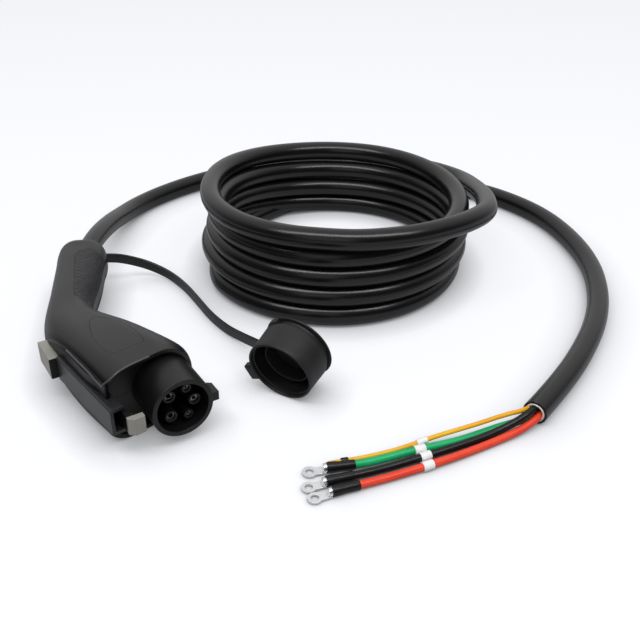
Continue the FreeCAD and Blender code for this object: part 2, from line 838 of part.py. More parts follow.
def shrink_sleeve(name):
    """Heat-shrink tube over the end of a core and the barrel of its terminal."""
    end, direction = along_last_run(name)
    start = end - direction * (barrel_length - neck_root)
    last = start + direction * shrink_length
    inner = barrel_r + cord_fit
    return tube(start, last, inner + shrink_wall, inner)


def pilot_band():
    """The short black band round the yellow core near its end."""
    route = core_routes()["core_yellow"]
    direction = (route[-1] - route[-3]).normalize()
    half = direction * (band_length / 2)
    inner = pilot_core_d / 2 + cord_fit
    return tube(route[-2] - half, route[-2] + half, inner + shrink_wall, inner)


def marker_sleeve(name, index, diameter):
    """A short white marker tube on a core, left bare."""
    first, second = core_piece(name, index)
    direction = (second - first).normalize()
    middle = (first + second) * 0.5
    inner = diameter / 2 + cord_fit
    half = direction * (marker_length / 2)
    return tube(middle - half, middle + half, inner + marker_wall, inner)


def ring_terminal(name):
    """A crimp barrel, a sloped neck and a flat ring with a stud hole."""
    end, direction = along_last_run(name)
    ahead = direction * -1
    barrel = tube(end, end + ahead * barrel_length, barrel_r, barrel_bore_r)
    side = V(-ahead.y, ahead.x, 0)
    ring_middle = end + ahead * (barrel_length + ring_reach)
    low = end.z - barrel_r + 0.2
    flat = V(ring_middle.x, ring_middle.y, low)
    root = V(end.x, end.y, low) + ahead * (barrel_length - neck_root + 0.3)
    neck_half = side * 2.9
    neck = slab([root - neck_half, root + neck_half, flat + side * 3.6, flat - side * 3.6], low, low + ring_t)
    web = slab([root - side * 2.4, root + side * 2.4, root + side * 2.4 + ahead * 2.6, root - side * 2.4 + ahead * 2.6],
               low, low + 2.4)
    ring = Part.makeCylinder(ring_r, ring_t, flat, UP)
    plug = Part.makeCylinder(barrel_bore_r, 1.6, end + ahead * (barrel_length - 1.6), ahead)
    body = barrel.fuse([neck, web, ring, plug]).removeSplitter()
    return body.cut(Part.makeCylinder(stud_hole_r, 10, flat - UP * 3, UP))


def cable_coil():
    """The stack of turns as one closed ring, five turns high in front and four behind."""
    top = coil_front_turns * cable_d
    outer_r = coil_hole_r + (coil_front_wall + coil_back_wall) / 2
    outer_middle = coil_middle + coil_spread_way * ((coil_back_wall - coil_front_wall) / 2)
    ring = Part.makeCylinder(outer_r, top, outer_middle, UP)
    hole = Part.makeCylinder(coil_hole_r, top, coil_middle, UP)
    ring = ring.cut(hole)
    drop = (coil_front_turns - coil_back_turns) * cable_d
    slope = math.degrees(math.atan(drop / (2 * coil_hole_r)))
    lid = Part.makeBox(FAR, FAR, FAR, V(-FAR / 2, -FAR / 2, 0))
    lid.rotate(ORIGIN, V(0.527, -0.85, 0).cross(UP), slope)
    lid.translate(coil_middle + UP * (top - drop / 2 + cable_d * 0.05))
    ring = ring.cut(lid)
    round_edges = [e for e in ring.Edges if not isinstance(e.Curve, Part.Line)]
    return ring.makeFillet(coil_edge_r, round_edges)


def all_pieces():
    outer = body_outer()
    hollow = wiring_space()
    upper_lets = [inlay_body(outer, 1, seat_gap / 2), side_plate(outer, seat_gap / 2)]
    lower_lets = [inlay_body(outer, -1, seat_gap / 2)]
    pieces = {
        "housing_upper": housing_upper(outer, hollow, upper_lets),
        "housing_lower": housing_lower(outer, hollow, lower_lets),
        "grip_inlay_upper": inlay_body(outer, 1, 0.0),
        "grip_inlay_lower": inlay_body(outer, -1, 0.0),
        "side_plate": side_plate(outer, 0.0),
        "nose_barrel": nose_barrel(),
        "nose_seal": nose_seal(),
        "contact_block": contact_block(),
        "latch_cover": latch_cover(),
        "latch_lever": latch_lever(),
        "latch_pin": latch_pin(),
        "latch_spring": latch_spring(),
        "housing_screws": housing_screws(),
        "cable_grommet": cable_grommet(),
        "dust_cap": dust_cap(),
        "cap_strap": cap_strap(),
        "cable_plug_tail": round_cord(plug_tail_route(), cable_d, "cable_plug_tail"),
        "cable_coil": cable_coil(),
        "cable_open_tail": round_cord(open_tail_route(), cable_d, "cable_open_tail"),
    }
    for name, y, z, sleeve, bore, _ in contact_places():
        pieces[name] = contact(y, z, sleeve, bore)
    for name, route in core_routes().items():
        thin = name == "core_yellow"
        pieces[name] = round_cord(route, pilot_core_d if thin else power_core_d, name)
    for colour in ("red", "black", "green"):
        pieces["shrink_sleeve_" + colour] = shrink_sleeve("core_" + colour)
        pieces["ring_terminal_" + colour] = ring_terminal("core_" + colour)
    pieces["shrink_band_yellow"] = pilot_band()
    pieces["marker_red"] = marker_sleeve("core_red", 6, power_core_d)
    pieces["marker_black"] = marker_sleeve("core_black", 6, power_core_d)
    pieces["marker_green"] = marker_sleeve("core_green", 6, power_core_d)
    pieces["marker_yellow"] = marker_sleeve("core_yellow", 6, pilot_core_d)
    return pieces


def main():
    os.makedirs("parts", exist_ok=True)
    for name, shape in all_pieces().items():
        shape.translate(V(rim_x, rim_y, 0))
        print(name, "solids", len(shape.Solids), "valid", shape.isValid(), "volume", round(shape.Volume))
        shape.exportStep("parts/" + name + ".step")


main()
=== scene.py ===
import math

import bmesh
import bpy
from bpy.props import FloatProperty, FloatVectorProperty, PointerProperty
from bpy.types import Operator, Panel, PropertyGroup
from mathutils import Matrix, Vector


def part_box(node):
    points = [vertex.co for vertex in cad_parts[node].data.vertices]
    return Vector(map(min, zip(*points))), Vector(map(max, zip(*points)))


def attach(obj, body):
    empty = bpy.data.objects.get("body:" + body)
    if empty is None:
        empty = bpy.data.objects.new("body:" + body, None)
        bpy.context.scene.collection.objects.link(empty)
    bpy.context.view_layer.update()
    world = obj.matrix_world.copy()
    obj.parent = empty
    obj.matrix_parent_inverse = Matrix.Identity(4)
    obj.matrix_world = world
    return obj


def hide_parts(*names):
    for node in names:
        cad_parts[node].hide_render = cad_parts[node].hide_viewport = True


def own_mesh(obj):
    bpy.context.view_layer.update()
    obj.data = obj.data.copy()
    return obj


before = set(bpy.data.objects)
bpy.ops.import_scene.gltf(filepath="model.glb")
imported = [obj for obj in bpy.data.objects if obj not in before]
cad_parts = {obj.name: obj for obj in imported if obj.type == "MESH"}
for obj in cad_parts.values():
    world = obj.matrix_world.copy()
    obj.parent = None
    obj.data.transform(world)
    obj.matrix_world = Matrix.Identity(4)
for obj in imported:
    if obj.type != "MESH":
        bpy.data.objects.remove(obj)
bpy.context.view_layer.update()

bl_info = {
    "name": "Vehicle charging cable",
    "version": (1, 0, 0),
    "blender": (4, 5, 0),
    "location": "View3D > Sidebar > Charging cable",
    "description": "Dresses the packed charging cable: plug, latch, dust cap, coil, cores and ring terminals",
    "category": "Object",
}

PLUG = "plug_and_cable"
MM = 0.001
UP = Vector((0.0, 0.0, 1.0))
# Points of a mesh closer than this, in metres, are one point
WELD = 1e-6


# The studio, in metres, degrees and watts

CAMERA_PLACE = (0.5456, -0.18635, 0.3763)
CAMERA_TILT = 58.8
CAMERA_TURN = 58.2
CAMERA_LENS_MM = 48.8
CAMERA_SENSOR_MM = 36.0
CAMERA_SHIFT = -0.0172
CAMERA_NEAR = 0.01
FLOOR_SIZE = 60.0
# How far the camera sees the floor lifted towards white, and how near to a piece it stays darker as painted
# contact shadow
FLOOR_LIFT = 0.75
CONTACT_SHADE_REACH = 0.03
# The share of that lift that gloss and metal mirror
FLOOR_IN_GLOSS = 0.35
# The way to the bright side of the room that gloss mirrors, where it begins, and its two levels
BRIGHT_SIDE = (-0.60, 0.42, 0.68)
BRIGHT_SIDE_FROM = -0.10
ROOM_DARK = 0.03
ROOM_BRIGHT = 0.8
# Name, place, width and length, watts, and the point that the lamp is aimed at
LAMPS = [
    ("overhead strip softbox", (0.56, -0.20, 1.70), (2.6, 0.34), 24.0, (-0.05, 0.20, 0.0)),
    ("front fill", (1.3, -1.2, 1.0), (1.2, 1.2), 2.5, (0.0, 0.1, 0.0)),
]


# The finishes

# How close the patches of a pattern lie, as so many to a length
PLASTIC_DRIFT = 3 / (50.0 * MM)
METAL_DRIFT = 11 / (50.0 * MM)
JACKET_DRIFT = 7 / (200.0 * MM)
JACKET_WAVES = 12 / (50.0 * MM)
ENAMEL_DRIFT = 9 / (100.0 * MM)
ENAMEL_GRAIN = 7 / (5.0 * MM)
GRIP_WAVES_APART = 2.4 * MM
GRIP_WAVE_DEPTH = 1.1 * MM
# A wave texture at scale 1 has its waves this far apart
WAVE_TEXTURE_STEP = 0.314
PLASTIC_IOR = 1.5


# Places, in metres and degrees, as in the part's source

# The handle leans this far from the X axis
HANDLE_TURN = 23.3
# Along X, the lever's button ends at the first and its hook starts at the second; the arm between them gets
# painted shade
LEVER_BUTTON_END = 0.0276
LEVER_HOOK_START = 0.1136
# The middle of the dust cap's mouth, how far it looks down, and the way that it faces
CAP_MOUTH = Vector((0.1097, 0.05025, 0.02461))
CAP_TILT = 12.9
CAP_TURN = -61.4
# The middle of the cable's cut face
JACKET_END = Vector((0.2234, 0.18595, 0.0088))

# The hood's edge over the latch cover: the way across it, how far across the plug it runs,
# how far its painted shade reaches to both sides, and the painted shade itself, which leaves the bead lit
HOOD_EDGE_ACROSS = (-0.1295, 0.9916, 0.0)
HOOD_EDGE_AT = -0.07945
HOOD_SHADE_UNDER = 2.0 * MM
HOOD_SHADE_OVER = 4.0 * MM
HOOD_SHADE = [
    (0.30, "#000000"), (0.35, "#ffffff"), (0.45, "#ffffff"), (0.48, "#202020"), (0.60, "#202020"),
    (1.0, "#ffffff"),
]
HOOD_BEAD_RADIUS = 0.7 * MM
# Its line, with the corner's point given twice so that the bend stays tight
HOOD_EDGE = [
    (0.0392, -0.0749, 0.0473), (0.0440, -0.0745, 0.0480), (0.0493, -0.0741, 0.0482),
    (0.0586, -0.0730, 0.0484), (0.0672, -0.0719, 0.0484), (0.0755, -0.0708, 0.0481),
    (0.0832, -0.0698, 0.0471), (0.0905, -0.0685, 0.0462), (0.0905, -0.0685, 0.0462),
    (0.0921, -0.0672, 0.0489), (0.0935, -0.0647, 0.0511), (0.0937, -0.0617, 0.0531),
    (0.0928, -0.0570, 0.0552), (0.0913, -0.0500, 0.0561), (0.0897, -0.0420, 0.0561),
    (0.0880, -0.0340, 0.0559),
]

# The cable's route: from the plug, behind the coil, through its turns, and out to the cut end
PLUG_TAIL = [
    (-0.1025, -0.01985, 0.0281), (-0.1295, -0.00635, 0.0281), (-0.1585, 0.01315, 0.0272),
    (-0.1900, 0.03615, 0.0212), (-0.2165, 0.05715, 0.0136), (-0.2390, 0.08065, 0.0094),
    (-0.2530, 0.11015, 0.0088), (-0.2625, 0.14515, 0.0088), (-0.2650, 0.18015, 0.0096),
    (-0.2545, 0.21315, 0.0140), (-0.2240, 0.2460, 0.0230),
]
BEHIND_COIL = [
    (-0.1786, 0.2789, 0.0340), (-0.1380, 0.3120, 0.0415), (-0.0970, 0.3360, 0.0455),
    (-0.0520, 0.3450, 0.0475), (-0.0090, 0.3270, 0.0560), (0.0190, 0.3110, 0.0630),
    (0.0410, 0.2945, 0.0690), (0.0620, 0.2760, 0.0735), (0.0737, 0.2432, 0.0765),
    (0.0754, 0.1962, 0.0785), (0.0630, 0.1585, 0.0788),
]
# The coil's middle, and the ways to the right of the camera and away from it
COIL_MIDDLE = Vector((-0.0516, 0.1987, 0.0))
COIL_RIGHT = Vector((0.527, 0.850, 0.0))
COIL_AWAY = Vector((-0.850, 0.527, 0.0))
# Quarter by quarter, clockwise from above: how far out the turn lies and how high, in cable diameters
COIL_QUARTERS = [
    (-90, 6.68, 4.50), (-180, 6.24, 4.25), (-270, 6.70, 3.50), (-360, 6.33, 3.50),
    (-450, 6.50, 3.50), (-540, 5.94, 3.35), (-630, 6.36, 2.50), (-720, 6.42, 2.50),
    (-810, 6.50, 2.50), (-900, 6.06, 2.40), (-990, 6.16, 1.50), (-1080, 6.34, 1.50),
    (-1170, 6.50, 1.50), (-1260, 6.37, 1.48), (-1350, 6.26, 0.51), (-1440, 6.10, 0.51),
    (-1530, 6.50, 0.51), (-1620, 6.45, 0.51),
]
# Pulls to a quarter, and how much further out they lie, because a smooth line cuts its corners
QUARTER_PULLS = 4
PULL_OUT = 1.01
LEAVING_COIL = [
    (-0.1420, 0.1400, 0.0088), (-0.1590, 0.1850, 0.0088), (-0.1680, 0.2400, 0.0088),
    (-0.1600, 0.2900, 0.0088), (-0.1450, 0.3300, 0.0088), (-0.1240, 0.3700, 0.0088),
]
OPEN_TAIL = [
    (-0.0895, 0.40115, 0.0088), (-0.0485, 0.41265, 0.0088), (-0.0025, 0.41465, 0.0088),
    (0.0455, 0.40215, 0.0088), (0.0915, 0.37965, 0.0088), (0.1305, 0.34815, 0.0088),
    (0.1625, 0.31115, 0.0088), (0.1895, 0.26615, 0.0088), (0.2095, 0.22315, 0.0088),
    (0.2234, 0.18595, 0.0088),
]
# Each core's route, from inside the jacket to its end
CORE_ROUTES = {
    "red": [
        (0.2246, 0.1915, 0.0072), (0.2266, 0.1863, 0.0072), (0.2278, 0.17965, 0.0062),
        (0.2281, 0.17015, 0.0043), (0.2275, 0.15715, 0.0031), (0.2267, 0.14215, 0.0028),
        (0.2258, 0.12515, 0.00285), (0.2244, 0.10615, 0.0034), (0.2213, 0.08415, 0.0034),
        (0.2181, 0.06565, 0.0030), (0.2149, 0.04815, 0.00375), (0.2119, 0.03455, 0.0038),
    ],
    "black": [
        (0.2212, 0.1902, 0.0122), (0.2231, 0.1850, 0.0122), (0.2247, 0.17755, 0.0119),
        (0.2244, 0.16815, 0.0090), (0.2224, 0.15715, 0.0060), (0.2214, 0.14315, 0.0047),
        (0.2195, 0.12815, 0.0043), (0.2167, 0.11015, 0.0036), (0.2134, 0.08815, 0.0034),
        (0.2101, 0.06965, 0.0030), (0.2067, 0.05165, 0.00375), (0.2026, 0.03615, 0.0038),
    ],
    "green": [
        (0.2193, 0.1895, 0.0064), (0.2212, 0.1843, 0.0064), (0.2221, 0.17855, 0.0061),
        (0.2211, 0.17165, 0.0051), (0.2177, 0.16015, 0.0037), (0.2157, 0.14615, 0.0029),
        (0.2138, 0.12815, 0.00285), (0.2099, 0.10915, 0.0035), (0.2054, 0.09115, 0.0035),
        (0.2017, 0.07315, 0.0029), (0.1985, 0.05715, 0.00375), (0.1927, 0.04315, 0.0038),
    ],
    "yellow": [
        (0.2172, 0.1887, 0.0108), (0.2190, 0.1835, 0.0108), (0.2191, 0.17685, 0.0112),
        (0.2177, 0.17015, 0.0114), (0.2154, 0.15915, 0.0108), (0.2133, 0.14665, 0.0098),
        (0.2099, 0.13215, 0.0084), (0.2046, 0.11515, 0.0058), (0.2008, 0.09315, 0.0034),
        (0.1972, 0.07815, 0.0024), (0.1934, 0.06365, 0.0022), (0.1899, 0.05275, 0.00225),
        (0.1867, 0.04275, 0.0023),
    ],
}
# The darker and the lighter tone of each core's insulation
CORE_COLOURS = {
    "red": ("#ea4229", "#f4543a"), "black": ("#0e0e10", "#141416"),
    "green": ("#0ea865", "#18b872"), "yellow": ("#f0ac16", "#fac426"),
}
# The strap's route, from the handle to the cap
STRAP = [
    (-0.1151, 0.00015, 0.0276), (-0.1159, 0.01315, 0.0246), (-0.1155, 0.02865, 0.0175),
    (-0.1105, 0.04315, 0.0105), (-0.0945, 0.05465, 0.0054), (-0.0695, 0.05815, 0.0043),
    (-0.0415, 0.05715, 0.0042), (-0.0135, 0.05565, 0.0042), (0.0125, 0.05765, 0.0048),
    (0.0325, 0.06065, 0.0076), (0.0525, 0.06295, 0.0118), (0.0726, 0.06455, 0.0166),
]


# Sizes and outlines, in millimetres

# The last stretch of the jacket, which is open and shows its thickness
CUT_END = 5.0
# Along the core from the sleeve's middle, and how far the sleeve stands over the core there
MARKER_PROFILE = [
    (-3.75, 0.15), (-3.7, 0.55), (-3.4, 0.65), (0.0, 0.62), (3.4, 0.65), (3.7, 0.55), (3.75, 0.15),
]
BAND_PROFILE = [(-2.5, 0.1), (-2.45, 0.5), (-1.9, 0.7), (1.9, 0.72), (2.45, 0.5), (2.5, 0.1)]
# Along the core from its end, and the sleeve's radius: tight on the core, it steps up over the barrel
SHRINK_PROFILE = [
    (-13.5, 2.75), (-13.4, 3.2), (-12.9, 3.35), (-8.0, 3.3), (-3.2, 3.32), (-1.8, 3.42),
    (-0.4, 3.6), (2.0, 3.65), (4.2, 3.62), (4.9, 3.5), (5.0, 2.95),
]
STRAP_WIDTH = 8.0
STRAP_THICKNESS = 3.0
STRAP_ROUNDING = 0.8
STRAP_CORNER_STEPS = 3
# Radius and height of the cup over its back: flange and groove, wall, lip, sealing rib, inner sleeve
CUP_PROFILE = [
    (0.0, -3.4), (25.2, -3.4), (26.3, -3.1), (26.8, -2.5), (26.6, -1.9), (25.9, -1.6),
    (24.0, -1.4), (23.6, -0.9), (23.6, 1.7), (24.0, 2.3), (25.2, 2.5), (25.8, 2.9), (25.9, 3.6),
    (25.5, 12.0), (25.2, 20.6), (25.2, 24.3), (25.0, 25.0), (24.6, 25.35),
    (24.2, 25.4), (23.7, 25.1), (23.4, 24.4), (23.4, 22.3), (23.1, 22.1), (22.7, 21.7), (22.7, 21.1),
    (23.1, 20.7), (23.4, 20.5), (23.4, 4.6), (23.0, 3.6), (22.0, 3.0), (18.6, 3.0), (18.4, 3.2),
    (18.3, 14.4), (18.1, 14.8), (17.6, 15.0), (17.1, 14.8), (16.9, 14.4), (16.8, 3.2), (16.6, 3.0),
    (0.0, 3.0),
]
CUP_DEPTH = 25.4
LUG_PROFILE = [
    (23.4, -2.9), (26.6, -2.9), (27.1, -2.4), (27.2, -1.4), (27.1, 1.6), (26.7, 2.4), (25.7, 2.9),
    (23.4, 3.0),
]
LUG_SWEEP = 20.0
# The ways from the cup's axis to its lug and to its bump, as shares of sideways and up
LUG_WAY = (-0.84, 0.54)
BUMP_WAY = (-1.0, -0.45)
BUMP_SIZE = (8.6, 13.0, 5.6)
BUMP_ROUNDING = 1.3
# The bump's middle: behind the cup's mouth, and out from the cup's axis
BUMP_BEHIND = 3.0
BUMP_OUT = 27.6
# The wire's radius, the coils, and the pulls to a coil
SPRING_WIRE = 0.45
SPRING_COILS = 5
SPRING_PULLS = 12


# Colours and materials

def linear(hex_colour):
    """An sRGB hex colour as the linear colour that the shaders take."""
    channels = [int(hex_colour[i:i + 2], 16) / 255 for i in (1, 3, 5)]
    straight = [c / 12.92 if c <= 0.04045 else ((c + 0.055) / 1.055) ** 2.4 for c in channels]
    return (*straight, 1.0)


def tones(dark, light):
    """The two near tones of a material, for the shaders."""
    return linear(dark), linear(light)


def add_node(tree, kind, settings=(), links=()):
    """A shader node with its settings, and its inputs linked to other nodes' outputs."""
    node = tree.nodes.new(kind)
    for name, value in dict(settings).items():
        if isinstance(name, int) or name in node.inputs:
            node.inputs[name].default_value = value
        else:
            setattr(node, name, value)
    for name, source in dict(links).items():
        tree.links.new(source, node.inputs[name])
    return node


def empty_tree(holder):
    """The node tree of a material or world, with nothing in it."""
    holder.use_nodes = True
    holder.node_tree.nodes.clear()
    return holder.node_tree


def new_material(name):
    """An empty material with its Principled shader, output and object coordinates."""
    material = bpy.data.materials.new(name)
    tree = empty_tree(material)
    shader = add_node(tree, "ShaderNodeBsdfPrincipled")
    add_node(tree, "ShaderNodeOutputMaterial", links={"Surface": shader.outputs[0]})
    place = add_node(tree, "ShaderNodeTexCoord")
    return material, tree, shader, place.outputs["Object"]


def mottled(tree, place, scale, colours):
    """A colour that drifts between two near tones over the surface."""
    noise = add_node(tree, "ShaderNodeTexNoise", {"Scale": scale, "Detail": 4.0}, {"Vector": place})
    ramp = add_node(tree, "ShaderNodeValToRGB", links={"Fac": noise.outputs["Fac"]})
    for stop, position, colour in zip(ramp.color_ramp.elements, (0.35, 0.65), colours):
        stop.position = position
        stop.color = colour
    return ramp.outputs["Color"]


def grained(tree, place, scale, depth, edge_mm=0.0):
    """A fine bump, its scale and depth in metres, over edges that are moulded or worn round."""
    noise = add_node(tree, "ShaderNodeTexNoise", {"Scale": scale, "Detail": 2.0}, {"Vector": place})
    bump = add_node(tree, "ShaderNodeBump", {"Strength": 1.0, "Distance": depth},
                    {"Height": noise.outputs["Fac"]})
    if edge_mm:
        soft = add_node(tree, "ShaderNodeBevel", {"samples": 6, "Radius": edge_mm * MM})
        tree.links.new(soft.outputs["Normal"], bump.inputs["Normal"])
    return bump.outputs["Normal"]


def set_gloss(shader, roughness, specular):
    """The gloss of a plastic or rubber."""
    shader.inputs["Roughness"].default_value = roughness
    shader.inputs["IOR"].default_value = PLASTIC_IOR
    shader.inputs["Specular IOR Level"].default_value = specular


def moulded_plastic(name, colours, roughness, grain_mm, depth_mm, specular=0.4, edge_mm=0.45):
    """Injection-moulded plastic or rubber: an even colour, with a fine grain that softens the gloss."""
    material, tree, shader, place = new_material(name)
    tree.links.new(mottled(tree, place, PLASTIC_DRIFT, colours), shader.inputs["Base Color"])
    normal = grained(tree, place, 1.0 / (grain_mm * MM), depth_mm * MM, edge_mm)
    tree.links.new(normal, shader.inputs["Normal"])
    set_gloss(shader, roughness, specular)
    return material


def bare_metal(name, colours, roughness, scratch_mm, depth_mm):
    """Turned, plated or drawn metal: two close tones and a very fine scratch bump."""
    material, tree, shader, place = new_material(name)
    tree.links.new(mottled(tree, place, METAL_DRIFT, colours), shader.inputs["Base Color"])
    normal = grained(tree, place, 1.0 / (scratch_mm * MM), depth_mm * MM, edge_mm=0.15)
    tree.links.new(normal, shader.inputs["Normal"])
    shader.inputs["Metallic"].default_value = 1.0
    shader.inputs["Roughness"].default_value = roughness
    return material


def extruded_jacket(name, colours, roughness, specular=0.4):
    """Extruded plastic or rubber, and the fleece: smooth, with a slow drift of tone and faint waves."""
    material, tree, shader, place = new_material(name)
    tree.links.new(mottled(tree, place, JACKET_DRIFT, colours), shader.inputs["Base Color"])
    tree.links.new(grained(tree, place, JACKET_WAVES, 0.02 * MM), shader.inputs["Normal"])
    set_gloss(shader, roughness, specular)
    return material


def shade_under_edge(material):
    """Paints shade on a moulding: dull and dark below the hood's edge bead, and dimmed in the groove over the
    bead.
    """
    tree = material.node_tree
    shader = next(node for node in tree.nodes if node.type == "BSDF_PRINCIPLED")
    colour = shader.inputs["Base Color"].links[0].from_socket
    place = add_node(tree, "ShaderNodeTexCoord").outputs["Object"]
    across = add_node(tree, "ShaderNodeVectorMath", {"operation": "DOT_PRODUCT", 1: HOOD_EDGE_ACROSS},
                      {0: place})
    share = add_node(tree, "ShaderNodeMapRange",
                     {"From Min": HOOD_EDGE_AT - HOOD_SHADE_UNDER,
                      "From Max": HOOD_EDGE_AT + HOOD_SHADE_OVER},
                     {"Value": across.outputs["Value"]})
    lit = add_node(tree, "ShaderNodeValToRGB", links={"Fac": share.outputs[0]})
    stops = lit.color_ramp.elements
    for _ in HOOD_SHADE[2:]:
        stops.new(0.5)
    for stop, (position, shade) in zip(stops, HOOD_SHADE):
        stop.position = position
        stop.color = linear(shade)
    # Painted shade: near black below the edge, dimmed over the groove, the moulding's own tone elsewhere
    painted_shade_mix = add_node(tree, "ShaderNodeMix", {"data_type": "RGBA", 6: linear("#030303")},
                    {0: lit.outputs[0], 7: colour})
    tree.links.new(painted_shade_mix.outputs[2], shader.inputs["Base Color"])
    # The same painted shade also takes the gloss away below the edge
    tree.links.new(lit.outputs[0], shader.inputs["Specular Tint"])


def waved_grip(name, colours):
    """Soft TPE over-moulding: rows of low waves across the handle that catch the light, with painted light on
    their crests and painted shade in their valleys.
    """
    material, tree, shader, place = new_material(name)
    along = add_node(tree, "ShaderNodeMapping", {"Rotation": (0.0, 0.0, math.radians(HANDLE_TURN))},
                     {"Vector": place})
    rows = add_node(tree, "ShaderNodeTexWave",
                    {"bands_direction": "X", "Scale": WAVE_TEXTURE_STEP / GRIP_WAVES_APART, "Distortion": 3.2,
                     "Detail": 1.0, "Detail Scale": 1.6}, {"Vector": along.outputs[0]})
    shade = add_node(tree, "ShaderNodeValToRGB", links={"Fac": rows.outputs["Fac"]})
    for stop, colour in zip(shade.color_ramp.elements, colours):
        stop.color = colour
    tree.links.new(shade.outputs["Color"], shader.inputs["Base Color"])
    bump = add_node(tree, "ShaderNodeBump", {"Strength": 1.0, "Distance": GRIP_WAVE_DEPTH},
                    {"Height": rows.outputs["Fac"]})
    tree.links.new(bump.outputs["Normal"], shader.inputs["Normal"])
    set_gloss(shader, roughness=0.55, specular=0.35)
    return material


def enamelled_lever(name, arm, colours):
    """Die-cast lever: silver enamel on the button and the hook, and a dull black painted shade on the arm
    between them, where it lies in shadow inside the cover.
    """
    material, tree, shader, place = new_material(name)
    silver = mottled(tree, place, ENAMEL_DRIFT, colours)
    along = add_node(tree, "ShaderNodeSeparateXYZ", links={"Vector": place}).outputs["X"]
    behind = add_node(tree, "ShaderNodeMath", {"operation": "LESS_THAN", 1: LEVER_BUTTON_END}, {0: along})
    front = add_node(tree, "ShaderNodeMath", {"operation": "GREATER_THAN", 1: LEVER_HOOK_START}, {0: along})
    bright = add_node(tree, "ShaderNodeMath", {"operation": "MAXIMUM"},
                      {0: behind.outputs[0], 1: front.outputs[0]})
    painted_shade_mix = add_node(tree, "ShaderNodeMix", {"data_type": "RGBA", 6: linear(arm)},
                    {0: bright.outputs[0], 7: silver})
    tree.links.new(painted_shade_mix.outputs[2], shader.inputs["Base Color"])
    tree.links.new(grained(tree, place, ENAMEL_GRAIN, 0.02 * MM, edge_mm=0.5), shader.inputs["Normal"])
    shader.inputs["Roughness"].default_value = 0.42
    shader.inputs["Metallic"].default_value = 0.25
    return material


def pale_floor(name):
    """Matt board: mid grey to the light, near white to the camera, and darker close to what lies on it as
    painted contact shadow.
    """
    material = bpy.data.materials.new(name)
    tree = empty_tree(material)
    board = add_node(tree, "ShaderNodeBsdfDiffuse", {"Color": linear("#97989b")})
    rays = add_node(tree, "ShaderNodeLightPath")
    mirrored = add_node(tree, "ShaderNodeMath", {"operation": "MULTIPLY", 1: FLOOR_IN_GLOSS},
                        {0: rays.outputs["Is Glossy Ray"]})
    seen = add_node(tree, "ShaderNodeMath", {"operation": "MAXIMUM"},
                    {0: rays.outputs["Is Camera Ray"], 1: mirrored.outputs[0]})
    # Ambient occlusion takes the lift away close to a piece: painted contact shadow
    near = add_node(tree, "ShaderNodeAmbientOcclusion", {"samples": 8, "Distance": CONTACT_SHADE_REACH})
    lift = add_node(tree, "ShaderNodeMath", {"operation": "MULTIPLY", 1: FLOOR_LIFT}, {0: near.outputs["AO"]})
    shown = add_node(tree, "ShaderNodeMath", {"operation": "MULTIPLY"},
                     {0: lift.outputs[0], 1: seen.outputs[0]})
    glow = add_node(tree, "ShaderNodeEmission", {"Color": linear("#f6f7fa")}, {"Strength": shown.outputs[0]})
    both = add_node(tree, "ShaderNodeAddShader", links={0: board.outputs[0], 1: glow.outputs[0]})
    add_node(tree, "ShaderNodeOutputMaterial", links={"Surface": both.outputs[0]})
    return material


def soft_world(name, level):
    """Even light all round, white to the camera, with one bright side that gloss mirrors."""
    world = bpy.data.worlds.new(name)
    tree = empty_tree(world)
    rays = add_node(tree, "ShaderNodeLightPath")
    way = add_node(tree, "ShaderNodeTexCoord")
    towards = add_node(tree, "ShaderNodeVectorMath", {"operation": "DOT_PRODUCT", 1: BRIGHT_SIDE},
                       {0: way.outputs["Generated"]})
    room = add_node(tree, "ShaderNodeMapRange",
                    {"interpolation_type": "SMOOTHSTEP", "From Min": BRIGHT_SIDE_FROM, "From Max": 1.0,
                     "To Min": ROOM_DARK, "To Max": ROOM_BRIGHT}, {"Value": towards.outputs["Value"]})
    plain = add_node(tree, "ShaderNodeMix", {"data_type": "FLOAT", 2: level},
                     {0: rays.outputs["Is Glossy Ray"], 3: room.outputs[0]})
    shown = add_node(tree, "ShaderNodeMix", {"data_type": "FLOAT", 3: 1.0},
                     {0: rays.outputs["Is Camera Ray"], 2: plain.outputs[0]})
    sky = add_node(tree, "ShaderNodeBackground", {"Color": (1, 1, 1, 1)}, {"Strength": shown.outputs[0]})
    add_node(tree, "ShaderNodeOutputWorld", links={"Surface": sky.outputs[0]})
    return world


# Modelling helpers

def select_only(*objects):
    """Selects these objects alone and makes the first one active."""
    bpy.ops.object.select_all(action="DESELECT")
    for piece in objects:
        piece.select_set(True)
    bpy.context.view_layer.objects.active = objects[0]


def settle(piece, material, smooth=35.0):
    """Puts a finished piece's place into its mesh, gives it its material and smooth shading."""
    select_only(piece)
    bpy.ops.object.transform_apply(location=True, rotation=True, scale=True)
    bpy.ops.object.shade_smooth_by_angle(angle=math.radians(smooth))
    piece.data.materials.clear()
    piece.data.materials.append(material)
    return piece


def on_plug(piece, *nodes, slot):
    """The piece rides with the plug and cable, and stands for the CAD nodes it replaces."""
    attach(piece, PLUG)
    if nodes:
        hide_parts(*nodes)


def paint(node_name, material):
    """Gives a CAD node, kept as it is, a made material."""
    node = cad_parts[node_name]
    if not node.material_slots:
        node.data.materials.append(material)
    for holder in node.material_slots:
        holder.material = material


def middle_of(node_name):
    """The middle of a CAD node's box."""
    low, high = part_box(node_name)
    return (Vector(low) + Vector(high)) / 2


def in_metres(profile, inner=0.0):
    """An outline given in millimetres, its second measure standing over an inner radius in metres."""
    return [(along * MM, inner + over * MM) for along, over in profile]


